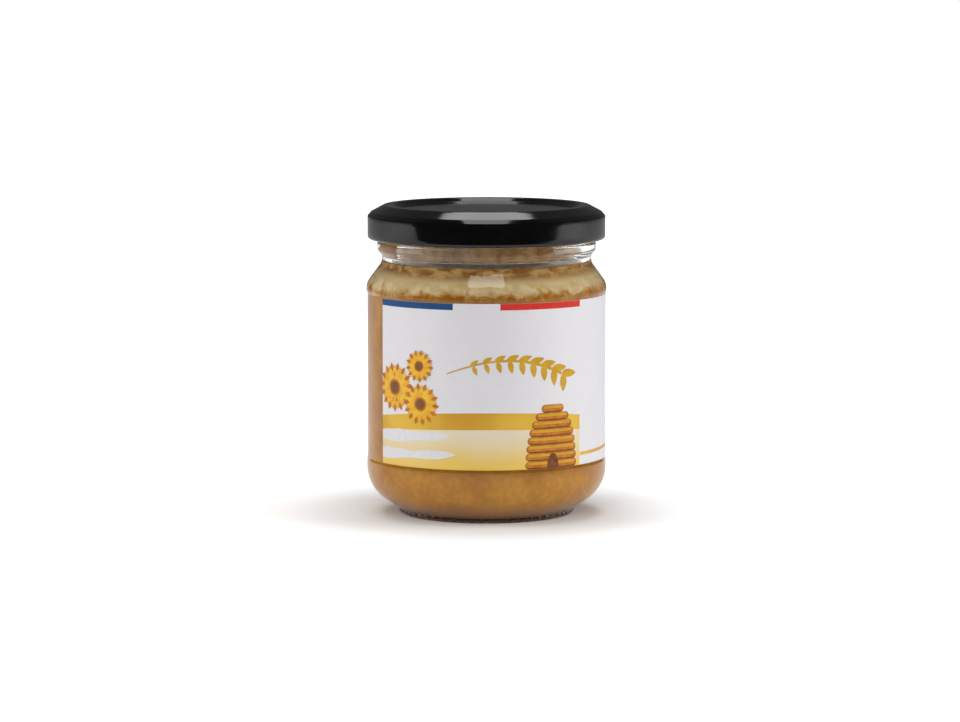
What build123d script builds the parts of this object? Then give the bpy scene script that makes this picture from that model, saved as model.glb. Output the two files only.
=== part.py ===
"""A 250 g glass honey jar: twist-off lid, wrap-round paper label and a filling of set honey.

Millimetres, +Z up. The origin is the centre of the plane that the jar stands on, and the middle of the
label's front panel faces -Y. The pieces are bodies turned about Z: each is drawn as a profile in the XZ
plane, radius along X, and revolved. The thread ridges, lugs and foot marks are then set round it.
"""

from build123d import *
from math import cos, degrees, radians, sin, sqrt
import os

# --- jar, outside ---
SHOULDER_R = 33.5  # the widest ring, just above the label
PANEL_R = 33.2  # the recessed wall that carries the label
HEEL_BAND_R = 33.4  # the contact band below the label
NECK_R = 29.2
BEAD_R = 30.4  # the transfer bead below the lid
FINISH_R = 29.0  # the wall between the bead and the rim
FOOT_R = 24.2  # the ring that the jar stands on
FOOT_INNER_R = 21.4
JAR_H = 85.9
FOOT_H = 1.35  # where the foot ring meets the slope of the heel
HEEL_CORNER_Z = 7.4  # where the wall and the heel's slope would meet without their fillet
HEEL_FILLET = 10.6
PANEL_BOTTOM_Z = 15.9
PANEL_TOP_Z = 61.7
PANEL_STEP = 0.7  # height over which the panel runs out to the band or the shoulder
SHOULDER_CORNER_Z = 64.4  # where the wall and the slope would meet without their fillet
NECK_CORNER_Z = 70.2
SHOULDER_FILLET = 5.6
NECK_FILLET = 3.0
BEAD_BOTTOM_Z = 72.2
BEAD_FLANK = 1.5  # height of the flank from the neck out to the bead
BEAD_TOP_Z = 76.0
BEAD_FILLET = 0.6
RIM_FILLET = 0.85
FOOT_FILLET = 0.5
PUSH_UP = 1.6  # rise of the domed base at its centre

# --- jar, inside ---
BORE_R = 26.7
WALL = 2.7
FLOOR_EDGE_Z = 3.1  # lowest ring of the inside floor
FLOOR_RISE = 1.3  # from that ring up to the centre of the floor
INNER_HEEL_RADIUS = 10.0
INNER_SHOULDER_FILLET = 5.0
INNER_NECK_FILLET = 3.5

# --- marks round the foot ---
MARKS = 58
MARK_TURN = 4.0  # degrees that each mark covers
MARK_H = 0.9
MARK_CREST_H = 0.4
MARK_OUT = 0.3  # how far a mark stands out of the foot ring
MARK_Z = 0.75  # height of a mark's middle
MARK_ROOT = 0.3

# --- lid ---
LID_R = 33.1
LID_H = 9.45
SHEET = 0.25
CREST_OUTER_R = 28.6
CREST_INNER_R = 26.2
LID_PANEL_R = 25.2
LID_PANEL_DEPTH = 0.95
SLOPE_R = 32.15  # where the slope from the crest meets the chamfer
SLOPE_DROP = 1.9
CHAMFER_DROP = 3.0  # from the crest down to the top of the skirt
BEND_FILLET = 0.3  # the inner fillet of the bends round the panel
CREST_FILLET = 0.8
SKIRT_FILLET = 0.7
CURL_R = 0.85
CURL_TURN = 300.0  # degrees that the skirt's edge is rolled through

# --- thread ridges round the finish, and the lid's lugs below them ---
STARTS = 4
FIRST_START = -4.0  # degrees from the front to the middle of the first lug
LUG_R = 30.1  # the lug's inner face
LUG_TURN = 18.0
LUG_LIFT = 0.3  # from the lid's lower edge to the lug
LUG_THICKNESS = 1.0
LUG_ROOT = 0.6  # how far the lug reaches into the curl
LUG_CLEARANCE = 0.25  # between a lug and the ridge above it
RIDGE_R = 30.9
RIDGE_ROOT = 0.5
RIDGE_FOOT_H = 2.0
RIDGE_CREST_H = 0.8
RIDGE_LEVEL_TURN = 26.0  # degrees of level ridge, over the lug
RIDGE_CLIMB_TURN = 40.0
RIDGE_CLIMB = 2.4
RIDGE_STATIONS = 12

# --- honey ---
HONEY_LEVEL_Z = 70.3

# --- label ---
LABEL_THICKNESS = 0.1
LABEL_MARGIN = 0.15  # bare wall between the label and each end of its panel
LABEL_LENGTH = 163.0  # measured round the jar
LABEL_START = -59.0  # degrees from the front to the left edge

LID_TOP_Z = JAR_H + SHEET
LID_BOTTOM_Z = LID_TOP_Z - LID_H
FRONT = -90.0  # the direction of -Y, in degrees about Z


def polygon(points):
    """A face in the XZ plane from its corners, given as (radius, height)."""
    return make_face(Polyline(*[(r, 0, z) for r, z in points], close=True)).face()


def rounded(face, corners):
    """The face with each of the corners (radius, height, fillet) rounded."""
    for r, z, fillet_r in corners:
        target = Vector(r, 0, z)
        vertex = min(face.vertices(), key=lambda v: (Vector(*v) - target).length)
        face = face.fillet_2d(fillet_r, [vertex])
    return face


def placed(solid, angle):
    """The solid turned about Z from +X to a direction this many degrees right of the front."""
    return Rot(0, 0, FRONT + angle) * solid


def sector(face, turn):
    """The face revolved through an angle, centred on the XZ plane."""
    return Rot(0, 0, -turn / 2) * revolve(face, Axis.Z, turn)


def dome(edge_r, edge_z, rise):
    """An arc from a ring up to the axis, which it crosses square on."""
    radius = (edge_r**2 + rise**2) / (2 * rise)
    middle_r = edge_r / 2
    middle_z = edge_z + rise - radius + sqrt(radius**2 - middle_r**2)
    return ThreePointArc((edge_r, 0, edge_z), (middle_r, 0, middle_z), (0, 0, edge_z + rise))


def slope_inside(r):
    """Height of the inside of the shoulder's slope, a wall's thickness below the outside."""
    run = SHOULDER_R - NECK_R
    rise = NECK_CORNER_Z - SHOULDER_CORNER_Z
    length = sqrt(run**2 + rise**2)
    drop = WALL * length / run
    return SHOULDER_CORNER_Z + (SHOULDER_R - r) * rise / run - drop


def outside_corners():
    """The corners of the jar's outside, from the foot ring to the rim."""
    return [
        (FOOT_INNER_R, 0),
        (FOOT_R, 0),
        (FOOT_R, FOOT_H),
        (HEEL_BAND_R, HEEL_CORNER_Z),
        (HEEL_BAND_R, PANEL_BOTTOM_Z - PANEL_STEP),
        (PANEL_R, PANEL_BOTTOM_Z),
        (PANEL_R, PANEL_TOP_Z),
        (SHOULDER_R, PANEL_TOP_Z + PANEL_STEP),
        (SHOULDER_R, SHOULDER_CORNER_Z),
        (NECK_R, NECK_CORNER_Z),
        (NECK_R, BEAD_BOTTOM_Z),
        (BEAD_R, BEAD_BOTTOM_Z + BEAD_FLANK),
        (BEAD_R, BEAD_TOP_Z),
        (FINISH_R, BEAD_TOP_Z),
        (FINISH_R, JAR_H),
        (0, JAR_H),
    ]


def outside_face():
    """The jar's outside as a filled profile, closed by the domed base and the axis."""
    points = [(r, 0, z) for r, z in outside_corners()]
    edges = [
        *Polyline(*points).edges(),
        Line((0, 0, JAR_H), (0, 0, PUSH_UP)),
        dome(FOOT_INNER_R, 0, PUSH_UP),
    ]
    fillets = [
        (FOOT_INNER_R, 0, FOOT_FILLET),
        (FOOT_R, 0, FOOT_FILLET),
        (HEEL_BAND_R, HEEL_CORNER_Z, HEEL_FILLET),
        (SHOULDER_R, SHOULDER_CORNER_Z, SHOULDER_FILLET),
        (NECK_R, NECK_CORNER_Z, NECK_FILLET),
        (NECK_R, BEAD_BOTTOM_Z, BEAD_FILLET),
        (BEAD_R, BEAD_BOTTOM_Z + BEAD_FLANK, BEAD_FILLET),
        (BEAD_R, BEAD_TOP_Z, BEAD_FILLET),
        (FINISH_R, JAR_H, RIM_FILLET),
    ]
    return rounded(make_face(edges).face(), fillets)


def inside_face(top_z):
    """The jar's hollow up to a height, as a filled profile."""
    wall_r = PANEL_R - WALL
    flat_r = wall_r - INNER_HEEL_RADIUS
    shoulder_z = slope_inside(wall_r)
    neck_z = slope_inside(BORE_R)
    heel_z = FLOOR_EDGE_Z + INNER_HEEL_RADIUS
    turn = sin(radians(45))
    edges = [
        dome(flat_r, FLOOR_EDGE_Z, FLOOR_RISE),
        ThreePointArc(
            (flat_r, 0, FLOOR_EDGE_Z),
            (flat_r + INNER_HEEL_RADIUS * turn, 0, heel_z - INNER_HEEL_RADIUS * turn),
            (wall_r, 0, heel_z),
        ),
        Line((wall_r, 0, heel_z), (wall_r, 0, shoulder_z)),
        Line((wall_r, 0, shoulder_z), (BORE_R, 0, neck_z)),
        Line((BORE_R, 0, neck_z), (BORE_R, 0, JAR_H)),
        Line((BORE_R, 0, JAR_H), (0, 0, JAR_H)),
        Line((0, 0, JAR_H), (0, 0, FLOOR_EDGE_Z + FLOOR_RISE)),
    ]
    face = make_face(edges).face()
    corners = [
        (wall_r, shoulder_z, INNER_SHOULDER_FILLET),
        (BORE_R, neck_z, INNER_NECK_FILLET),
    ]
    face = rounded(face, corners)
    if top_z >= JAR_H:
        return face
    above = polygon([(-1, top_z), (BORE_R + 9, top_z), (BORE_R + 9, JAR_H + 1), (-1, JAR_H + 1)])
    return (face - above).face()


def ridge_section(angle, z, size):
    """A thread ridge's section at an angle, shrunk towards the wall where the ridge runs out."""
    root_r = FINISH_R - RIDGE_ROOT
    crest_r = FINISH_R + (RIDGE_R - FINISH_R) * size
    half_foot = RIDGE_FOOT_H / 2 * (0.6 + 0.4 * size)
    half_crest = RIDGE_CREST_H / 2 * (0.6 + 0.4 * size)
    face = polygon(
        [
            (root_r, z - half_foot),
            (crest_r, z - half_crest),
            (crest_r, z + half_crest),
            (root_r, z + half_foot),
        ]
    )
    return Rot(0, 0, angle) * face


def ridge():
    """One thread ridge: level over the lug, then climbing, and fading out at both ends."""
    low_z = LID_BOTTOM_Z + LUG_LIFT + LUG_THICKNESS + LUG_CLEARANCE + RIDGE_FOOT_H / 2
    total = RIDGE_LEVEL_TURN + RIDGE_CLIMB_TURN
    sections = []
    for i in range(RIDGE_STATIONS + 1):
        along = total * i / RIDGE_STATIONS
        climbed = max(0.0, along - RIDGE_LEVEL_TURN) / RIDGE_CLIMB_TURN
        end = min(i, RIDGE_STATIONS - i)
        size = min(1.0, 0.25 + 0.75 * end)
        sections.append(
            ridge_section(along - RIDGE_LEVEL_TURN / 2, low_z + RIDGE_CLIMB * climbed, size)
        )
    return loft(sections, ruled=True)


def foot_mark():
    """One raised mark on the foot ring's flank."""
    root_r = FOOT_R - MARK_ROOT
    crest_r = FOOT_R + MARK_OUT
    face = polygon(
        [
            (root_r, MARK_Z - MARK_H / 2),
            (crest_r, MARK_Z - MARK_CREST_H / 2),
            (crest_r, MARK_Z + MARK_CREST_H / 2),
            (root_r, MARK_Z + MARK_H / 2),
        ]
    )
    return sector(face, MARK_TURN)


def glass_jar():
    body = revolve(outside_face(), Axis.Z) - revolve(inside_face(JAR_H), Axis.Z)
    rim = [e for e in body.edges().filter_by(GeomType.CIRCLE) if is_bore_edge(e)]
    body = fillet(rim, RIM_FILLET)
    ridges = [placed(ridge(), FIRST_START + 360 / STARTS * i) for i in range(STARTS)]
    marks = [placed(foot_mark(), 360 / MARKS * i) for i in range(MARKS)]
    return body + ridges + marks


def is_bore_edge(edge):
    centre = edge.arc_center
    return abs(centre.Z - JAR_H) < 0.01 and abs(edge.radius - BORE_R) < 0.01


def lid_bends():
    """The outer line of the lid's sheet, as (radius, height, outer fillet, inner fillet)."""
    top = LID_TOP_Z
    panel_z = top - LID_PANEL_DEPTH
    return [
        (0, panel_z, 0, 0),
        (LID_PANEL_R, panel_z, BEND_FILLET, BEND_FILLET + SHEET),
        (CREST_INNER_R, top, BEND_FILLET + SHEET, BEND_FILLET),
        (CREST_OUTER_R, top, CREST_FILLET, CREST_FILLET - SHEET),
        (SLOPE_R, top - SLOPE_DROP, SKIRT_FILLET, SKIRT_FILLET - SHEET),
        (LID_R, top - CHAMFER_DROP, SKIRT_FILLET, SKIRT_FILLET - SHEET),
        (LID_R, LID_BOTTOM_Z + CURL_R, 0, 0),
    ]


def inset(points, distance):
    """The line moved sideways, to its right, with its corners kept sharp."""
    moved = []
    for i, (x, z) in enumerate(points):
        before = points[max(i - 1, 0)]
        after = points[min(i + 1, len(points) - 1)]
        arrive = direction(before, (x, z)) or direction((x, z), after)
        leave = direction((x, z), after) or arrive
        n1 = (arrive[1], -arrive[0])
        n2 = (leave[1], -leave[0])
        reach = distance / (1 + n1[0] * n2[0] + n1[1] * n2[1])
        moved.append((x + (n1[0] + n2[0]) * reach, z + (n1[1] + n2[1]) * reach))
    return moved


def direction(a, b):
    length = sqrt((b[0] - a[0]) ** 2 + (b[1] - a[1]) ** 2)
    if length == 0:
        return None
    return ((b[0] - a[0]) / length, (b[1] - a[1]) / length)


def pressed_face():
    """The lid's section from the middle of the panel to the lower end of the skirt."""
    bends = lid_bends()
    outer = [(r, z) for r, z, _, _ in bends]
    inner = inset(outer, SHEET)
    corners = []
    for (r, z, outer_fillet, inner_fillet), (inner_r, inner_z) in zip(bends, inner):
        if outer_fillet:
            corners.append((r, z, outer_fillet))
            corners.append((inner_r, inner_z, inner_fillet))
    return rounded(polygon(outer + inner[::-1]), corners)


def curl_face():
    """The skirt's rolled edge."""
    centre_r = LID_R - CURL_R
    centre_z = LID_BOTTOM_Z + CURL_R
    inner_r = CURL_R - SHEET

    def at(radius, turn):
        angle = -radians(turn)
        return (centre_r + radius * cos(angle), 0, centre_z + radius * sin(angle))

    edges = [
        ThreePointArc(at(CURL_R, 0), at(CURL_R, CURL_TURN / 2), at(CURL_R, CURL_TURN)),
        Line(at(CURL_R, CURL_TURN), at(inner_r, CURL_TURN)),
        ThreePointArc(at(inner_r, CURL_TURN), at(inner_r, CURL_TURN / 2), at(inner_r, 0)),
        Line(at(inner_r, 0), at(CURL_R, 0)),
    ]
    return make_face(edges).face()


def lug():
    """One lug, pressed inwards from the curl."""
    outer_r = LID_R - 2 * CURL_R + LUG_ROOT
    low_z = LID_BOTTOM_Z + LUG_LIFT
    face = polygon(
        [
            (LUG_R, low_z),
            (outer_r, low_z),
            (outer_r, low_z + LUG_THICKNESS),
            (LUG_R, low_z + LUG_THICKNESS),
        ]
    )
    face = rounded(face, [(LUG_R, low_z, 0.3), (LUG_R, low_z + LUG_THICKNESS, 0.3)])
    return sector(face, LUG_TURN)


def lid():
    body = revolve(pressed_face(), Axis.Z) + revolve(curl_face(), Axis.Z)
    lugs = [placed(lug(), FIRST_START + 360 / STARTS * i) for i in range(STARTS)]
    return body + lugs


def honey():
    return revolve(inside_face(HONEY_LEVEL_Z), Axis.Z)


def label():
    """The label: a sheet that wraps most of the way round and leaves the glass bare between its ends."""
    low_z = PANEL_BOTTOM_Z + LABEL_MARGIN
    high_z = PANEL_TOP_Z - LABEL_MARGIN
    outer_r = PANEL_R + LABEL_THICKNESS
    turn = degrees(LABEL_LENGTH / PANEL_R)
    face = polygon([(PANEL_R, low_z), (outer_r, low_z), (outer_r, high_z), (PANEL_R, high_z)])
    return Rot(0, 0, FRONT + LABEL_START) * revolve(face, Axis.Z, turn)


def write(name, shape):
    solids = shape.solids()
    if len(solids) != 1:
        raise ValueError(f"{name} is in {len(solids)} pieces")
    solid = solids[0]
    export_step(solid, f"parts/{name}.step")
    print(name, "volume", round(solid.volume / 1000, 2), "ml", solid.bounding_box())


os.makedirs("parts", exist_ok=True)
write("glass_jar", glass_jar())
write("lid", lid())
write("honey", honey())
write("label", label())
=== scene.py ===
"""Looks of the honey jar. The script works in metres, and its sizes are given in millimetres and scaled by MM."""

import math
import random

import bpy
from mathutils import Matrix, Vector, noise
from mathutils.geometry import delaunay_2d_cdt


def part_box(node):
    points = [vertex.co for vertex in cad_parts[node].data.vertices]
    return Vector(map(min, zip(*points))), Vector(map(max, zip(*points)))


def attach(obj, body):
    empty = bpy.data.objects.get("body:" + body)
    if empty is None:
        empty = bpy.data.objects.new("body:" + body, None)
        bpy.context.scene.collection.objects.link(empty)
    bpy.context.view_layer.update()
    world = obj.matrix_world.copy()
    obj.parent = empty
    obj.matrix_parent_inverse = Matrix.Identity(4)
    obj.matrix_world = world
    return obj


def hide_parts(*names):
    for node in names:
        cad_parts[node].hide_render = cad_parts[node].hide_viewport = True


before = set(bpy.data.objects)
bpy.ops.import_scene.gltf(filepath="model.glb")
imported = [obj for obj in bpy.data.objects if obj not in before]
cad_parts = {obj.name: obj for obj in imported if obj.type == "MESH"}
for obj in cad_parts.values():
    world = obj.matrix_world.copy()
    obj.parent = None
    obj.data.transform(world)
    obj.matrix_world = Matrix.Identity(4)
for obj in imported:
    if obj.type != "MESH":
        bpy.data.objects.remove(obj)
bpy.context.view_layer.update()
MM = 0.001
random.seed(7)


def node_box(node):
    """The lowest and highest corner of a CAD node, in millimetres."""
    low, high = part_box(node)
    return Vector(low) / MM, Vector(high) / MM


GLASS_HIGH = node_box("glass_jar")[1]
LID_LOW, LID_HIGH = node_box("lid")
HONEY_LOW, HONEY_HIGH = node_box("honey")
LABEL_LOW, LABEL_HIGH = node_box("label")

# The jar's outside, from the foot up. Radii end in _R and heights in _Z.
FOOT_IN_R = 21.4
FOOT_R = 24.2
FOOT_TOP_Z = 1.35
PUSH_UP = 1.6  # rise of the domed base at its centre
BAND_R = 33.4  # the widest part of the heel
HEEL_Z = 7.4
HEEL_FILLET = 10.6
LABEL_THICKNESS = 0.1
PANEL_R = LABEL_HIGH.x - LABEL_THICKNESS
PANEL_LOW_Z = 15.9
PANEL_TOP_Z = 61.7
PANEL_STEP = 0.7  # height of the slope at each end of the panel
SHOULDER_R = GLASS_HIGH.x
SHOULDER_Z = 64.4
NECK_R = 29.2
NECK_Z = 70.2
BEAD_R = 30.4
BEAD_LOW_Z = 72.2
BEAD_FLANK = 1.5
BEAD_TOP_Z = 76.0
FINISH_R = 29.0
JAR_H = GLASS_HIGH.z

# The hollow, and the honey in it.
BORE_R = 26.7
BORE_Z = 69.0
INSIDE_R = HONEY_HIGH.x
INSIDE_TOP_Z = 63.9
FLOOR = HONEY_LOW.z
FLOOR_RISE = 1.3
INNER_HEEL = 10.0
LEVEL = HONEY_HIGH.z

# The thread's four ridges and the marks round the foot.
STARTS = 4
FIRST_START = -4.0
RIDGE_OUT = 1.9
RIDGE_SPAN = 66.0  # degrees that each ridge runs
RIDGE_LEVEL_SPAN = 26.0  # degrees of that before it climbs
RIDGE_Z = 79.25
RIDGE_CLIMB = 2.4
THREAD_LOW_Z = 76.2
THREAD_TOP_Z = 84.0
MARKS = 58
MARK_OUT = 0.32

# The lid's section, and the lugs under its edge.
SHEET = 0.25
CURL_R = 0.85
CREST_OUT_R = 28.6
CREST_IN_R = 26.2
LID_PANEL_R = 25.2
LID_PANEL_DEPTH = 0.95
SLOPE_R = 32.15
SLOPE_DROP = 1.9
CHAMFER_DROP = 3.0
LUG_R = 30.1
LUG_OUT_R = 32.0
LUG_LIFT = 0.3
LUG_H = 1.0
LUG_TURN = 18.0

# The label, in degrees right of the front.
LABEL_R = LABEL_HIGH.x
LABEL_START = -59.0
LABEL_TURN = 283.9


# ---------------------------------------------------------------- lines and turned meshes


def arc(centre, radius, start, end, count):
    """Points on an arc, from start to end in degrees, in the plane of radius and height."""
    points = []
    for i in range(count + 1):
        a = math.radians(start + (end - start) * i / count)
        points.append((centre[0] + radius * math.cos(a), centre[1] + radius * math.sin(a)))
    return points


def rounded(corners):
    """A line through corners given as (radius, height, fillet)."""
    points = []
    for i, (r, z, fillet) in enumerate(corners):
        if fillet == 0:
            points.append((r, z))
            continue
        here = Vector((r, z))
        back = (Vector(corners[i - 1][:2]) - here).normalized()
        on = (Vector(corners[i + 1][:2]) - here).normalized()
        half = back.angle(on) / 2
        reach = fillet / math.tan(half)
        centre = here + (back + on).normalized() * (fillet / math.sin(half))
        first = here + back * reach - centre
        last = here + on * reach - centre
        count = max(3, int(math.degrees(math.pi - 2 * half) / 6))
        for k in range(count + 1):
            t = k / count
            swing = math.pi - 2 * half
            a = math.sin((1 - t) * swing) / math.sin(swing)
            b = math.sin(t * swing) / math.sin(swing)
            p = centre + first * a + last * b
            points.append((p.x, p.y))
    return points


def fine(points, step):
    """The line with points added so that none are further apart than step, which is a function of (r, z)."""
    out = [points[0]]
    for a, b in zip(points, points[1:]):
        gap = math.dist(a, b)
        if gap < 1e-6:
            continue
        size = step((a[0] + b[0]) / 2, (a[1] + b[1]) / 2)
        count = max(1, math.ceil(gap / size))
        for k in range(1, count + 1):
            t = k / count
            out.append((a[0] + (b[0] - a[0]) * t, a[1] + (b[1] - a[1]) * t))
    return out


def make_mesh(name, verts, faces):
    """A smooth-shaded piece from points in millimetres."""
    mesh = bpy.data.meshes.new(name)
    mesh.from_pydata([Vector(v) * MM for v in verts], [], faces)
    mesh.update()
    mesh.polygons.foreach_set("use_smooth", [True] * len(mesh.polygons))
    piece = bpy.data.objects.new(name, mesh)
    bpy.context.scene.collection.objects.link(piece)
    return piece


def turned(name, line, segments, relief=None):
    """A line of (r, z) turned about Z. relief takes (angle, r, z) and gives that point's own (r, z)."""
    verts = []
    faces = []
    starts = []
    for r, z in line:
        starts.append(len(verts))
        if r < 1e-6:
            verts.append((0, 0, z))
            continue
        for s in range(segments):
            a = 2 * math.pi * s / segments
            pr, pz = relief(a, r, z) if relief else (r, z)
            verts.append((pr * math.cos(a), pr * math.sin(a), pz))
    for row in range(len(line) - 1):
        low, high = starts[row], starts[row + 1]
        low_pole = line[row][0] < 1e-6
        high_pole = line[row + 1][0] < 1e-6
        for s in range(segments):
            n = (s + 1) % segments
            if low_pole:
                faces.append((low, high + n, high + s))
            elif high_pole:
                faces.append((low + s, low + n, high))
            else:
                faces.append((low + s, low + n, high + n, high + s))
    return make_mesh(name, verts, faces)


def wrapped_sector(name, loop, start, turn, step=1.5):
    """A closed loop of (r, z) turned part of the way round, with flat ends, in degrees right of the front."""
    count = max(1, round(turn / step))
    verts = []
    for k in range(count + 1):
        a = math.radians(start + turn * k / count - 90)
        verts += [(r * math.cos(a), r * math.sin(a), z) for r, z in loop]
    size = len(loop)
    faces = [tuple(range(size))[::-1], tuple(range(count * size, (count + 1) * size))]
    for k in range(count):
        for i in range(size):
            j = (i + 1) % size
            low, high = k * size, (k + 1) * size
            faces.append((low + i, low + j, high + j, high + i))
    return make_mesh(name, verts, faces)


def smooth_by_angle(piece, degrees):
    """Sharp creases where faces meet at more than this angle."""
    piece.data.set_sharp_from_angle(angle=math.radians(degrees))


# ---------------------------------------------------------------- shader helpers


class Shader:
    """A material with a Principled shader, and short ways to add nodes to it."""

    def __init__(self, name):
        self.material = bpy.data.materials.new(name)
        self.material.use_nodes = True
        self.nodes = self.material.node_tree.nodes
        self.links = self.material.node_tree.links
        self.nodes.clear()
        self.out = self.nodes.new("ShaderNodeOutputMaterial")
        self.bsdf = self.nodes.new("ShaderNodeBsdfPrincipled")
        self.links.new(self.bsdf.outputs[0], self.out.inputs[0])
        self.place = self.nodes.new("ShaderNodeTexCoord").outputs["Object"]

    def set(self, **values):
        """Sets the Principled shader's sockets, with _ for each space in a name."""
        for key, value in values.items():
            self.bsdf.inputs[key.replace("_", " ")].default_value = value

    def feed(self, socket, target):
        """Sets a socket to a value, or links an output to it."""
        if isinstance(target, bpy.types.NodeSocket):
            self.links.new(target, socket)
        else:
            socket.default_value = target

    def noise(self, scale, detail=2.0, rough=0.5, stretch=(1, 1, 1), distortion=0.0):
        mapping = self.nodes.new("ShaderNodeMapping")
        mapping.inputs["Scale"].default_value = stretch
        self.links.new(self.place, mapping.inputs[0])
        node = self.nodes.new("ShaderNodeTexNoise")
        node.inputs["Scale"].default_value = scale
        node.inputs["Detail"].default_value = detail
        node.inputs["Roughness"].default_value = rough
        node.inputs["Distortion"].default_value = distortion
        self.links.new(mapping.outputs[0], node.inputs["Vector"])
        return node.outputs["Fac"]

    def math(self, op, a, b=0.0):
        node = self.nodes.new("ShaderNodeMath")
        node.operation = op
        self.feed(node.inputs[0], a)
        self.feed(node.inputs[1], b)
        return node.outputs[0]

    def span(self, value, low, high, to_low=0.0, to_high=1.0):
        """Eases from to_low to to_high as the value goes from low to high."""
        node = self.nodes.new("ShaderNodeMapRange")
        node.interpolation_type = "SMOOTHSTEP"
        self.feed(node.inputs[0], value)
        for i, v in enumerate((low, high, to_low, to_high)):
            node.inputs[i + 1].default_value = v
        return node.outputs[0]

    def mix(self, factor, a, b, kind="MIX"):
        node = self.nodes.new("ShaderNodeMix")
        node.data_type = "RGBA"
        node.blend_type = kind
        self.feed(node.inputs[0], factor)
        self.feed(node.inputs[6], a)
        self.feed(node.inputs[7], b)
        return node.outputs[2]

    def height(self):
        """Height above the base, in millimetres."""
        node = self.nodes.new("ShaderNodeSeparateXYZ")
        self.links.new(self.place, node.inputs[0])
        return self.math("DIVIDE", node.outputs[2], MM)

    def bump(self, value, distance, strength=1.0):
        node = self.nodes.new("ShaderNodeBump")
        node.inputs["Strength"].default_value = strength
        node.inputs["Distance"].default_value = distance
        self.links.new(value, node.inputs["Height"])
        self.links.new(node.outputs[0], self.bsdf.inputs["Normal"])

    def colour(self, value):
        self.feed(self.bsdf.inputs["Base Color"], value)

    def unevenly(self, z, noise, reach):
        """The height z, shifted up or down by the noise."""
        return self.math("ADD", z, self.math("MULTIPLY", self.math("SUBTRACT", noise, 0.5), reach))

    def blend(self, factor, first, second):
        """Makes the material a mix of two shaders."""
        node = self.nodes.new("ShaderNodeMixShader")
        for socket, output in zip(node.inputs, (factor, first, second)):
            self.links.new(output, socket)
        self.links.new(node.outputs[0], self.out.inputs[0])


def srgb(r, g, b):
    """A colour written as display values from 0 to 255."""

    def linear(v):
        v /= 255
        return v / 12.92 if v <= 0.04045 else ((v + 0.055) / 1.055) ** 2.4

    return (linear(r), linear(g), linear(b), 1.0)


def shaded(name, light, dark, scale=900.0, roughness=0.45, spread=0.5):
    """Ink or paint whose tone wanders a little between two colours."""
    s = Shader(name)
    s.set(Roughness=roughness)
    s.colour(s.mix(s.span(s.noise(scale, 3.0), 0.5 - spread / 2, 0.5 + spread / 2), dark, light))
    return s.material


def finish_piece(piece, material, slot, *nodes):
    """Gives a piece its material, hides the CAD nodes it stands for, if any, and hangs it on the root body."""
    piece.data.materials.append(material)
    if nodes:
        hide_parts(*nodes)
    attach(piece, "root")


# ---------------------------------------------------------------- glass


def glass_line():
    """The glass section: up the outside from the middle of the base, over the rim and down the inside."""
    dome = [(FOOT_IN_R * t / 10, PUSH_UP * (1 - (t / 10) ** 2)) for t in range(10)]
    outside = rounded(
        [
            dome[-1] + (0,),
            (FOOT_IN_R, 0, 0.5),
            (FOOT_R, 0, 0.5),
            (FOOT_R, FOOT_TOP_Z, 0.15),
            (BAND_R, HEEL_Z, HEEL_FILLET),
            (BAND_R, PANEL_LOW_Z - PANEL_STEP, 0.5),
            (PANEL_R, PANEL_LOW_Z, 0.5),
            (PANEL_R, PANEL_TOP_Z, 0.6),
            (SHOULDER_R, PANEL_TOP_Z + PANEL_STEP, 0.4),
            (SHOULDER_R, SHOULDER_Z, 4.8),
            (NECK_R, NECK_Z, 3.0),
            (NECK_R, BEAD_LOW_Z, 0.6),
            (BEAD_R, BEAD_LOW_Z + BEAD_FLANK, 0.6),
            (BEAD_R, BEAD_TOP_Z, 0.6),
            (FINISH_R, BEAD_TOP_Z, 0.12),
            (FINISH_R, JAR_H, 0.85),
            (BORE_R, JAR_H, 0.85),
        ]
        + inside_corners()[::-1]
    )
    return dome[:-1] + outside + inside_floor()[::-1][1:]


def inside_corners():
    """The hollow's corners from the top of the heel's arc to the bore."""
    return [(INSIDE_R, FLOOR + INNER_HEEL, 0), (INSIDE_R, INSIDE_TOP_Z, 5.0), (BORE_R, BORE_Z, 3.5)]


def inside_floor():
    """The hollow's floor and heel, from the axis to the wall."""
    flat_r = INSIDE_R - INNER_HEEL
    dome = [(flat_r * t / 8, FLOOR + FLOOR_RISE * (1 - (t / 8) ** 2)) for t in range(8)]
    return dome + arc((flat_r, FLOOR + INNER_HEEL), INNER_HEEL, -90, 0, 24)


def ridge_height(angle, z):
    """How far the thread ridges stand out of the finish at an angle and height."""
    pitch = 360 / STARTS
    turn = math.degrees(angle) + 90 - FIRST_START
    along = turn % pitch + 13
    if along > pitch:
        along -= pitch
    if along > RIDGE_SPAN:
        return 0.0
    climbed = max(0.0, along - RIDGE_LEVEL_SPAN) / (RIDGE_SPAN - RIDGE_LEVEL_SPAN)
    side = max(0.0, min(1.0, (1.0 - abs(z - RIDGE_Z - RIDGE_CLIMB * climbed)) / 0.6))
    end = max(0.0, min(1.0, along / 5, (RIDGE_SPAN - along) / 8))
    return RIDGE_OUT * side * side * (3 - 2 * side) * end


def mark_height(angle, z):
    """How far the crescent marks stand out of the foot."""
    offset = (math.degrees(angle) * MARKS / 360) % 1 - 0.5
    across = max(0.0, 1 - abs(offset) / 0.38)
    up = max(0.0, 1 - abs(z - 0.8 - 0.5 * abs(offset)) / 0.45)
    return MARK_OUT * min(1.0, 2 * across) * min(1.0, 2 * up)


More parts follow.
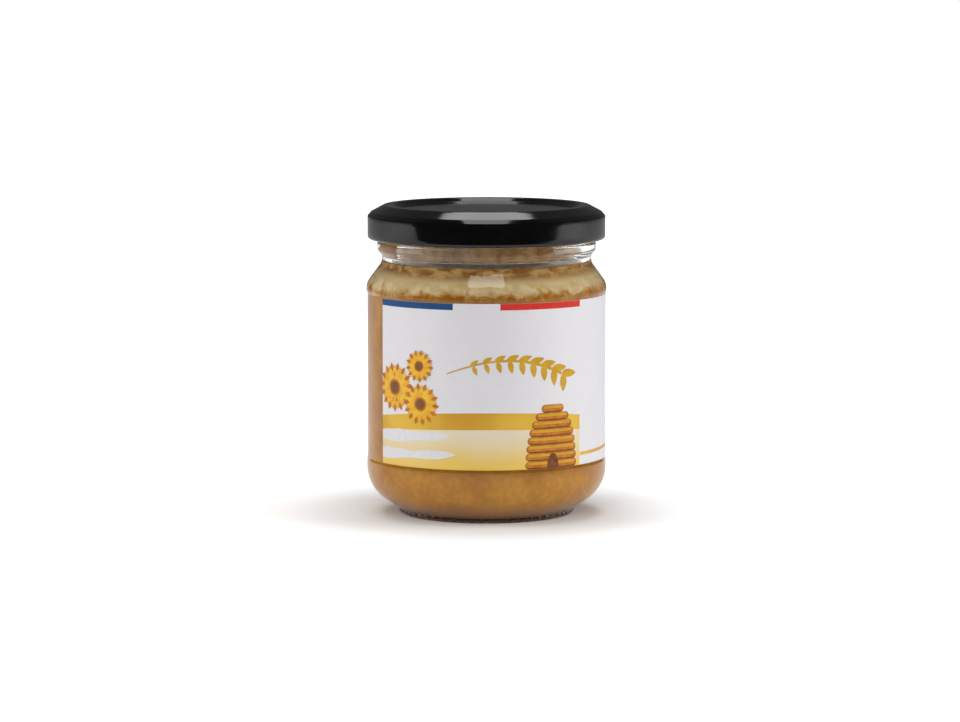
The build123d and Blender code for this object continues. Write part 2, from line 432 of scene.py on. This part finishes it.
def glass_relief(a, r, z):
    """Raises the thread and the foot marks, and makes the inside of the neck a little uneven."""
    if r > FINISH_R - 0.05 and THREAD_LOW_Z < z < THREAD_TOP_Z:
        return r + ridge_height(a, z), z
    if abs(r - FOOT_R) < 0.5 and 0.15 < z < 1.6:
        return r + mark_height(a, z), z
    if r < INSIDE_R + 0.01 and z > 66:
        spot = Vector((math.cos(a) * 1.6, math.sin(a) * 1.6, z * 0.12))
        return r + 0.10 * noise.noise(spot), z
    return r, z


def glass_step(r, z):
    """Short steps where the thread and the foot marks are."""
    if BEAD_TOP_Z < z < THREAD_TOP_Z and r > FINISH_R - 0.1:
        return 0.3
    if z < 1.7 and r > FOOT_R - 0.6:
        return 0.16
    return 1.6


def glass_material():
    """Clear glass that lets the lamps' light through to the honey and the floor."""
    s = Shader("clear_glass")
    s.set(Roughness=0.0, IOR=1.5, Transmission_Weight=1.0)
    s.colour(s.mix(s.noise(60.0), srgb(250, 252, 250), srgb(244, 248, 246)))
    s.bump(s.noise(160.0, 1.0), 0.00006, 0.35)
    clear = s.nodes.new("ShaderNodeBsdfTransparent")
    clear.inputs[0].default_value = (0.93, 0.94, 0.93, 1)
    path = s.nodes.new("ShaderNodeLightPath")
    either = s.math("MAXIMUM", path.outputs["Is Shadow Ray"], path.outputs["Is Diffuse Ray"])
    s.blend(either, s.bsdf.outputs[0], clear.outputs[0])
    return s.material


glass = turned("jar_glass", fine(glass_line(), glass_step), 360, glass_relief)
finish_piece(glass, glass_material(), "glass", "glass_jar")


# ---------------------------------------------------------------- honey


HONEY_INTO_GLASS = 0.12
SMEAR_TOP_Z = 79.0


def honey_line():
    """The filling's section, reaching just into the glass all the way up to its surface."""
    into = HONEY_INTO_GLASS
    floor = [(r, z - into) for r, z in inside_floor()[:8]]
    centre = (INSIDE_R - INNER_HEEL, FLOOR + INNER_HEEL)
    heel = arc(centre, INNER_HEEL + into, -90, 0, 24)
    wall = rounded(
        [
            heel[-1] + (0,),
            (INSIDE_R + into, INSIDE_TOP_Z + 0.1, 5.0),
            (BORE_R + into, BORE_Z + 0.1, 3.5),
            (BORE_R + into, LEVEL + 0.2, 0),
            (BORE_R - 0.9, LEVEL - 0.25, 0.5),
            (BORE_R - 3.0, LEVEL - 0.3, 0),
            (0, LEVEL - 0.3, 0),
        ]
    )
    return floor + heel + wall[1:]


def honey_relief(a, r, z):
    """Makes the honey's surface uneven, and most of all where it meets the glass."""
    x, y = math.cos(a), math.sin(a)
    if z > LEVEL - 0.6 and r > 0.1:
        spot = Vector((x * r * 0.35, y * r * 0.35, 3.1))
        lift = 0.22 * noise.noise(spot) + 0.14 * noise.noise(spot * 3.1)
        rim = Vector((x * 9, y * 9, 8.0))
        edge = max(0.0, 1 - (BORE_R + HONEY_INTO_GLASS - r) / 1.2)
        return r, z + lift + edge * (0.5 * noise.noise(rim) + 0.3 * noise.noise(rim * 2.7) - 0.15)
    return r, z


def honey_step(r, z):
    return 0.8 if z > LEVEL - 2 else 2.0


def honey_material():
    """Set honey: mottled, with painted shade towards the foot, a golden layer, a cream-coloured one and a brown one
    at the top.
    """
    s = Shader("set_honey")
    # The glass wets the honey, so hardly any light is mirrored where the two meet.
    s.set(Roughness=0.42, Specular_IOR_Level=0.04, IOR=1.49)
    z = s.height()
    broad = s.noise(90.0, 3.0, 0.55)
    ragged = s.noise(260.0, 4.0, 0.6, (1, 1, 1.6), 0.6)
    body = s.mix(s.span(broad, 0.3, 0.7), srgb(182, 116, 22), srgb(204, 140, 38))
    fleck = s.span(s.noise(700.0, 3.0, 0.6), 0.35, 0.7, 0.86, 1.06)
    body = s.mix(1.0, body, fleck, "MULTIPLY")
    shifted = s.unevenly(z, ragged, 4.5)
    # Painted shade: the honey darkens towards the foot of the jar, where the base shades it.
    low = s.mix(s.span(z, 1.5, 8.0), srgb(140, 84, 22), body)
    golden = s.mix(s.span(ragged, 0.35, 0.7), srgb(166, 102, 22), srgb(206, 142, 50))
    upper = s.mix(s.span(shifted, 59.5, 62.5), low, golden)
    foam = s.mix(s.span(ragged, 0.3, 0.75), srgb(206, 174, 118), srgb(228, 206, 162))
    upper = s.mix(s.span(shifted, 62.4, 64.4), upper, foam)
    crust = s.mix(s.span(ragged, 0.38, 0.66), srgb(136, 92, 44), srgb(198, 156, 98))
    upper = s.mix(s.span(shifted, 65.6, 68.0), upper, crust)
    s.colour(upper)
    s.bump(s.noise(420.0, 4.0, 0.6), 0.0005, 0.5)
    return s.material


honey = turned("honey_fill", fine(honey_line(), honey_step), 240, honey_relief)
finish_piece(honey, honey_material(), "honey", "honey")


def smear_line():
    """The thin coat of honey left on the inside of the neck, open at its foot where the filling starts."""
    foot = LEVEL - 0.2
    corners = [
        (BORE_R - 0.02, foot),
        (BORE_R - 0.02, SMEAR_TOP_Z),
        (BORE_R - 0.25, SMEAR_TOP_Z),
        (BORE_R - 0.3, foot),
    ]
    return fine(corners, lambda r, z: 0.6)


def smear_material():
    s = Shader("honey_smear")
    s.set(Roughness=0.5, Specular_IOR_Level=0.04)
    rough = s.noise(170.0, 4.0, 0.6, (1, 1, 1.8), 0.6)
    s.colour(s.mix(s.span(rough, 0.35, 0.65), srgb(150, 106, 68), srgb(192, 154, 108)))
    # Its lower part is thin and uneven, so the pale room shows through there.
    thickness = s.span(s.unevenly(s.height(), rough, 2.0), 72.2, 74.0, 0.12, 0.97)
    clear = s.nodes.new("ShaderNodeBsdfTransparent")
    s.blend(thickness, clear.outputs[0], s.bsdf.outputs[0])
    return s.material


smear = turned("honey_smear", smear_line(), 240)
finish_piece(smear, smear_material(), "honey")


# ---------------------------------------------------------------- lid


def lid_line():
    """The lid's section: along the top from the axis, down the skirt, round the curl and back underneath."""
    top = LID_HIGH.z
    radius = LID_HIGH.x
    panel = top - LID_PANEL_DEPTH
    curl = (radius - CURL_R, LID_LOW.z + CURL_R)
    over = [
        (0, panel, 0),
        (LID_PANEL_R, panel, 0.3),
        (CREST_IN_R, top, 0.55),
        (CREST_OUT_R, top, 0.8),
        (SLOPE_R, top - SLOPE_DROP, 0.5),
        (radius, top - CHAMFER_DROP, 0.5),
        (radius, curl[1], 0),
    ]
    under = [
        (radius - SHEET, curl[1] + 0.5, 0),
        (radius - SHEET, top - CHAMFER_DROP - 0.08, 0.3),
        (SLOPE_R - 0.2, top - SLOPE_DROP - 0.2, 0.3),
        (CREST_OUT_R - 0.05, top - SHEET, 0.55),
        (CREST_IN_R + 0.1, top - SHEET, 0.3),
        (LID_PANEL_R + 0.1, panel - SHEET, 0.55),
        (0, panel - SHEET, 0),
    ]
    roll = arc(curl, CURL_R, 0, -300, 40)
    back = arc(curl, CURL_R - SHEET, -300, 0, 30)
    return rounded(over) + roll[1:] + back[:-1] + rounded(under)


def lid_material():
    s = Shader("black_lacquer")
    s.set(IOR=1.5)
    s.colour(s.mix(s.noise(300.0), srgb(10, 9, 10), srgb(16, 15, 16)))
    s.feed(s.bsdf.inputs["Roughness"], s.span(s.noise(150.0, 3.0), 0.3, 0.7, 0.07, 0.12))
    s.bump(s.noise(500.0, 2.0), 0.00003, 0.25)
    return s.material


LACQUER = lid_material()
lid = turned("lid_shell", fine(lid_line(), lambda r, z: 1.2), 256)
finish_piece(lid, LACQUER, "lid_lacquer", "lid")

lug_low = LID_LOW.z + LUG_LIFT
lug_high = lug_low + LUG_H
bevel = 0.2
lug_loop = [
    (LUG_R, lug_low + bevel),
    (LUG_R + bevel, lug_low),
    (LUG_OUT_R, lug_low),
    (LUG_OUT_R, lug_high),
    (LUG_R + bevel, lug_high),
    (LUG_R, lug_high - bevel),
]
for i in range(STARTS):
    lug = wrapped_sector(f"lid_lug_{i}", lug_loop, FIRST_START + 360 / STARTS * i - LUG_TURN / 2, LUG_TURN)
    smooth_by_angle(lug, 50)
    finish_piece(lug, LACQUER, "lid_lacquer")


# ---------------------------------------------------------------- label and its print


def label_material():
    s = Shader("label_paper")
    s.set(Roughness=0.42, Specular_IOR_Level=0.35)
    s.colour(s.mix(s.noise(400.0, 3.0), srgb(226, 224, 228), srgb(232, 230, 233)))
    s.bump(s.noise(1400.0, 3.0), 0.00002, 0.3)
    return s.material


label_loop = [
    (PANEL_R - 0.02, LABEL_LOW.z),
    (LABEL_R, LABEL_LOW.z),
    (LABEL_R, LABEL_HIGH.z),
    (PANEL_R - 0.02, LABEL_HIGH.z),
]
label = wrapped_sector("label_sheet", label_loop, LABEL_START, LABEL_TURN, 1.0)
smooth_by_angle(label, 40)
finish_piece(label, label_material(), "label_paper", "label")

DEGREE = LABEL_R * math.pi / 180  # millimetres of label for each degree
LAYER = 0.012  # how far each layer of the print stands off the one under it


def wrap_point(u, z, layer):
    """A point of the print: u millimetres right of the front, and a height."""
    a = u / LABEL_R - math.pi / 2
    r = LABEL_R + LAYER * layer
    return (r * math.cos(a), r * math.sin(a), z)


def dense(loop, step=0.8):
    """The loop with points added so that none are further apart than step."""
    out = []
    for a, b in zip(loop, loop[1:] + loop[:1]):
        count = max(1, math.ceil(math.dist(a, b) / step))
        out += [(a[0] + (b[0] - a[0]) * k / count, a[1] + (b[1] - a[1]) * k / count) for k in range(count)]
    return out


def inside(point, loop):
    """Whether the point is within the loop and clear of its corners."""
    x, y = point
    hit = False
    for (x1, y1), (x2, y2) in zip(loop, loop[1:] + loop[:1]):
        if (y1 > y) != (y2 > y) and x < (x2 - x1) * (y - y1) / (y2 - y1) + x1:
            hit = not hit
        if math.hypot(x - x1, y - y1) < 0.25:
            return False
    return hit


def printed(name, loops, material, layer):
    """Flat shapes laid on the label. Each loop is a simple outline in (u, z)."""
    verts = []
    faces = []
    for loop in loops:
        edge = dense(loop)
        us = [p[0] for p in edge]
        zs = [p[1] for p in edge]
        inner = []  # points within the shape, so that it follows the label's curve
        u = min(us) + 1.0
        while max(us) - min(us) > 2.5 and u < max(us) - 0.5:
            z = min(zs) + 0.9
            while z < max(zs) - 0.4:
                if inside((u, z), edge):
                    inner.append((u, z))
                z += 2.5
            u += 1.2
        points = [Vector(p) for p in edge + inner]
        ring = list(range(len(edge)))
        flat, _, tris, *_ = delaunay_2d_cdt(points, [], [ring], 1, 1e-5)
        base = len(verts)
        verts += [wrap_point(p.x, p.y, layer) for p in flat]
        faces += [tuple(base + i for i in t) for t in tris]
    finish_piece(make_mesh(name, verts, faces), material, "label_paper")


def band(u0, u1, low, high, count=40):
    """A strip between two lines, each a function of u."""
    us = [u0 + (u1 - u0) * k / count for k in range(count + 1)]
    return [(u, low(u)) for u in us] + [(u, high(u)) for u in us[::-1]]


# The printed front's edges, and the foot of the coloured stripes along its top.
INSET = 0.02
LEFT = LABEL_START * DEGREE + INSET
RIGHT = 50.1 * DEGREE
TOP = LABEL_HIGH.z - INSET
BOTTOM = LABEL_LOW.z + INSET
STRIPE = TOP - 1.75
BLUE_END = -15.9 * DEGREE
RED_START = 6.5 * DEGREE
SIDE_LINE_LENGTH = 40.0

BLUE = shaded("print_blue", srgb(18, 76, 130), srgb(14, 66, 118))
RED = shaded("print_red", srgb(222, 50, 38), srgb(206, 42, 32))


def straight(u0, u1, z0, z1):
    """A rectangle."""
    return [(u0, z0), (u1, z0), (u1, z1), (u0, z1)]


printed("stripe_blue", [straight(LEFT, BLUE_END, STRIPE, TOP)], BLUE, 1)
printed("stripe_red", [straight(RED_START, RIGHT, STRIPE, TOP)], RED, 1)


def band_top(u):
    """The gold band's upper edge, which droops to each side."""
    return 31.7 - 1.7 * (u / 29.0) ** 2


def band_low(u):
    """The gold band's lower edge."""
    return 27.1 - 1.2 * (u / 29.0) ** 2


def gold_material():
    s = Shader("print_gold")
    s.set(Roughness=0.42)
    wave = s.span(s.noise(70.0, 2.0), 0.3, 0.7)
    s.colour(s.mix(wave, srgb(206, 152, 34), srgb(228, 184, 62)))
    return s.material


def field_material():
    """Yellow that pales upwards."""
    s = Shader("print_yellow_field")
    s.set(Roughness=0.42)
    z = s.height()
    paleness = s.span(s.unevenly(z, s.noise(60.0, 2.0), 5.0), 15.5, 27.0)
    s.colour(s.mix(paleness, srgb(234, 196, 84), srgb(232, 218, 190)))
    return s.material


GOLD = gold_material()
printed("yellow_field", [band(LEFT, RIGHT, lambda u: BOTTOM, band_low)], field_material(), 1)
printed("gold_band", [band(LEFT, RIGHT, band_low, band_top)], GOLD, 2)
side_line = band(
    RIGHT + 0.1,
    RIGHT + SIDE_LINE_LENGTH,
    lambda u: 18.6 + 0.02 * (u - RIGHT),
    lambda u: 19.5 + 0.02 * (u - RIGHT),
)
printed("side_gold_line", [side_line], GOLD, 1)


# White sweeps across the yellow field, and the motifs: blossoms on the left, a straw hive on the right
# and a leafy sprig over it.


def sweep(z, length, thick, lean):
    """A brush stroke from the label's left edge, uneven and pointed at its right end."""
    low = []
    high = []
    for k in range(31):
        t = k / 30
        u = LEFT + length * t
        taper = (1 - t**6) * (0.82 + 0.18 * math.sin(9 * t + z))
        middle = z + lean * t
        low.append((u, middle - thick / 2 * taper))
        high.append((u, middle + thick / 2 * taper + 0.12 * math.sin(23 * t)))
    return low + high[::-1][1:]


PALE = shaded("print_white", srgb(228, 226, 229), srgb(222, 219, 222))
printed("white_sweeps", [sweep(24.2, 24.0, 3.6, 0.9), sweep(19.2, 26.0, 3.2, 1.0)], PALE, 2)

AMBER = shaded("print_amber", srgb(206, 128, 34), srgb(178, 92, 20), 500)
YELLOW = shaded("print_yellow", srgb(244, 196, 60), srgb(226, 162, 34), 600)
BROWN = shaded("print_brown", srgb(128, 70, 28), srgb(92, 48, 20), 900)
TAN = shaded("print_tan", srgb(206, 150, 92), srgb(178, 120, 66), 700)
OCHRE = shaded("print_ochre", srgb(214, 168, 40), srgb(200, 150, 30), 400)


def petal(u, z, angle, length, width, start=0.0):
    """A pointed petal or leaf that runs out at an angle, from a distance start beyond (u, z)."""
    ca, sa = math.cos(angle), math.sin(angle)
    side = []
    for k in range(9):
        t = k / 8
        side.append((start + length * t, width / 2 * math.sin(math.pi * t**0.8) ** 0.8))
    loop = side + [(x, -y) for x, y in side[::-1][1:-1]]
    return [(u + x * ca - y * sa, z + x * sa + y * ca) for x, y in loop]


def disc(u, z, radius, count=28):
    turns = [2 * math.pi * k / count for k in range(count)]
    return [(u + radius * math.cos(a), z + radius * math.sin(a)) for a in turns]


def clipped(loop, high_u):
    """The loop held inside the printed front's left and lower edges, and left of high_u."""
    out = []
    for u, z in loop:
        point = (min(max(u, LEFT), high_u), max(z, BOTTOM))
        if not out or math.dist(point, out[-1]) > 1e-4:
            out.append(point)
    return out


GOLDEN_ANGLE = 2.39996  # between one seed and the next
SEEDS = 26
SLIVER = 0.3  # a clipped petal narrower than this is left out


def petals_round(u, z, radius, petals, turn, length, width, start):
    """A ring of petals, whose length, width and start are shares of the blossom's radius."""
    out = []
    for k in range(petals):
        angle = turn + 2 * math.pi * k / petals
        loop = clipped(petal(u, z, angle, radius * length, radius * width, radius * start), RIGHT)
        us = [p[0] for p in loop]
        if max(us) - min(us) > SLIVER:
            out.append(loop)
    return out


def blossom(name, u, z, radius, petals, layer):
    """A sunflower with two rings of petals and a seeded eye."""
    turn = random.uniform(0, 1)
    back = petals_round(u, z, radius, petals, turn + math.pi / petals, 0.98, 0.42, 0.1)
    front = petals_round(u, z, radius, petals, turn, 0.9, 0.34, 0.08)
    seeds = []
    for k in range(SEEDS):
        a = k * GOLDEN_ANGLE
        r = radius * 0.30 * math.sqrt((k + 0.5) / SEEDS)
        seeds.append(disc(u + r * math.cos(a), z + r * math.sin(a), radius * 0.026, 8))
    printed(name + "_petals_back", back, AMBER, layer)
    printed(name + "_petals", front, YELLOW, layer + 1)
    printed(name + "_ring", [disc(u, z, radius * 0.36)], AMBER, layer + 2)
    printed(name + "_eye", [disc(u, z, radius * 0.27)], BROWN, layer + 3)
    printed(name + "_seeds", seeds, TAN, layer + 4)


blossom("blossom_a", -28.4, 37.6, 6.4, 15, 3)
blossom("blossom_b", -19.0, 33.6, 5.4, 14, 9)
blossom("blossom_c", -19.4, 44.0, 4.2, 13, 15)


def half_circle(u, z, radius, start):
    """Half a circle, from start in degrees."""
    return arc((u, z), radius, start, start + 180, 8)


HIVE_U = 19.2
HIVE_WIDTH = 17.0
HIVE_HEIGHT = 17.5
ROLLS = 8


def hive_rolls(inset, low, high):
    """The hive's stack of straw rolls, each drawn in by inset at its ends, by low below and by high above."""
    rolls = []
    for k in range(ROLLS):
        t = (k + 0.5) / ROLLS
        half = HIVE_WIDTH / 2 * math.sqrt(max(0.0, 1 - (0.12 + 0.86 * t) ** 2.6))
        z0 = HIVE_HEIGHT * k / ROLLS + low
        z1 = HIVE_HEIGHT * (k + 1) / ROLLS - high
        radius = (z1 - z0) / 2
        reach = max(half - inset, 0.5) - radius
        middle = BOTTOM + z0 + radius
        right = half_circle(HIVE_U + reach, middle, radius, -90)
        rolls.append(right + half_circle(HIVE_U - reach, middle, radius, 90))
    return rolls


def hive_doorway():
    """An arch, 3.8 mm wide."""
    turns = [math.pi * k / 14 for k in range(15)]
    return [(HIVE_U + 1.9 * math.cos(a), BOTTOM + 0.02 + 4.2 * math.sin(a)) for a in turns]


printed("hive_shade", hive_rolls(0, 0, 0), BROWN, 3)
printed("hive_rolls", hive_rolls(0.12, 0.35, 0), AMBER, 4)
printed("hive_lights", hive_rolls(0.7, 1.15, 0.35), OCHRE, 5)
printed("hive_door", [hive_doorway()], BROWN, 6)


def stem_point(t):
    """The sprig's stem: from beside the blossoms up over the middle and down to the right."""
    return (-11.0 + 33.0 * t, 39.0 + 9.0 * math.sin(math.pi * (0.12 + 0.62 * t)) - 3.6 * t)


def stem():
    """The stem's outline, which thickens to the right."""
    low = []
    high = []
    for k in range(41):
        t = k / 40
        u, z = stem_point(t)
        half = 0.16 + 0.34 * t
        low.append((u, z - half))
        high.append((u, z + half))
    return low + high[::-1]


printed("sprig_stem", [stem()], OCHRE, 3)
leaves = []
for k in range(9):
    t = 0.2 + 0.1 * k
    u, z = stem_point(t)
    size = 2.2 + 3.2 * t
    leaves.append(petal(u, z, math.radians(48 - 50 * t), size, size * 0.42))
    leaves.append(petal(u + 0.8, z, math.radians(-62 - 30 * t), size * 0.95, size * 0.42))
printed("sprig_leaves", [clipped(p, RIGHT - 0.3) for p in leaves], OCHRE, 4)


# ---------------------------------------------------------------- stage, light and camera


def floor_material():
    """Pale, and white to the camera away from the jar. The white glow fades out near the jar, which paints shade
    round its foot on top of the lamps' real shadow there.
    """
    s = Shader("floor_pale")
    s.set(Roughness=0.9, Specular_IOR_Level=0.0)
    s.colour(s.mix(s.noise(2.0), srgb(243, 243, 243), srgb(246, 246, 246)))
    glow = s.nodes.new("ShaderNodeEmission")
    glow.inputs[0].default_value = (1, 1, 1, 1)
    path = s.nodes.new("ShaderNodeLightPath")
    seen = s.math("MAXIMUM", path.outputs["Is Camera Ray"], path.outputs["Is Transmission Ray"])
    distance = s.nodes.new("ShaderNodeVectorMath")
    distance.operation = "LENGTH"
    s.links.new(s.place, distance.inputs[0])
    # Painted shade: the camera-only glow is zero within 34 mm of the jar's axis and grows to full by 0.4 m, so the
    # floor round the foot is darker than the lamps' shadow alone makes it.
    near = s.span(distance.outputs["Value"], 0.034, 0.075, 0.0, 0.28)
    far = s.math("ADD", near, s.span(distance.outputs["Value"], 0.05, 0.4, 0.0, 0.72))
    s.links.new(s.math("MULTIPLY", seen, far), glow.inputs["Strength"])
    both = s.nodes.new("ShaderNodeAddShader")
    s.links.new(s.bsdf.outputs[0], both.inputs[0])
    s.links.new(glow.outputs[0], both.inputs[1])
    s.links.new(both.outputs[0], s.out.inputs[0])
    return s.material


# The table top, in millimetres: its front edge lies in front of the jar, below the picture.
FRONT = -330
BACK = 20000
SIDE = 9000
floor = make_mesh("floor", [(-SIDE, FRONT, 0), (SIDE, FRONT, 0), (SIDE, BACK, 0), (-SIDE, BACK, 0)], [(0, 1, 2, 3)])
floor.data.materials.append(floor_material())


def softbox(name, place, width, height, power, shiny=True):
    """A lamp aimed at the jar's middle. Only a shiny one is mirrored, and none shows through the glass."""
    light = bpy.data.lights.new(name, "AREA")
    light.shape = "RECTANGLE"
    light.size = width
    light.size_y = height
    light.energy = power
    lamp = bpy.data.objects.new(name, light)
    lamp.location = place
    lamp.rotation_euler = (MIDDLE - Vector(place)).to_track_quat("-Z", "Y").to_euler()
    lamp.visible_glossy = shiny
    lamp.visible_transmission = False
    bpy.context.scene.collection.objects.link(lamp)


MIDDLE = Vector((0, 0, 0.05))
softbox("overhead_box", (0.0, 0.05, 0.9), 0.42, 0.95, 4.5)
softbox("front_fill", (0.0, -1.5, 1.1), 1.2, 1.2, 12, False)
softbox("left_fill", (-1.3, -0.1, 0.5), 0.9, 0.9, 9, False)
softbox("right_fill", (1.3, -0.1, 0.5), 0.9, 0.9, 11, False)

world = bpy.data.worlds.new("studio")
world.use_nodes = True
bpy.context.scene.world = world
tree = world.node_tree
back = tree.nodes["Background"]
back.inputs["Color"].default_value = (1, 1, 1, 1)
ray = tree.nodes.new("ShaderNodeLightPath")
seen = tree.nodes.new("ShaderNodeMath")
seen.operation = "MAXIMUM"
tree.links.new(ray.outputs["Is Camera Ray"], seen.inputs[0])
tree.links.new(ray.outputs["Is Transmission Ray"], seen.inputs[1])
# The room is white to the camera. What it mirrors is dark in front of the table and paler behind it.
sky = tree.nodes.new("ShaderNodeTexCoord")
split = tree.nodes.new("ShaderNodeSeparateXYZ")
tree.links.new(sky.outputs["Generated"], split.inputs[0])
depth = tree.nodes.new("ShaderNodeMapRange")
for i, v in enumerate((-0.15, 0.35, 0.002, 0.09)):
    depth.inputs[i + 1].default_value = v
tree.links.new(split.outputs[1], depth.inputs[0])
level = tree.nodes.new("ShaderNodeMix")
tree.links.new(seen.outputs[0], level.inputs[0])
tree.links.new(depth.outputs[0], level.inputs[2])
level.inputs[3].default_value = 1.0
tree.links.new(level.outputs[0], back.inputs["Strength"])

camera_data = bpy.data.cameras.new("camera")
camera = bpy.data.objects.new("camera", camera_data)
bpy.context.scene.collection.objects.link(camera)
camera.location = (0, -1.143, 0.171)
aim = Vector((0, 0, 0.0423))
camera.rotation_euler = (aim - camera.location).to_track_quat("-Z", "Y").to_euler()
camera_data.sensor_width = 36.0
camera_data.lens = 154.4
camera_data.shift_x = -0.0067
camera_data.clip_end = 100
bpy.context.scene.camera = camera
bpy.context.scene.view_settings.view_transform = "Standard"
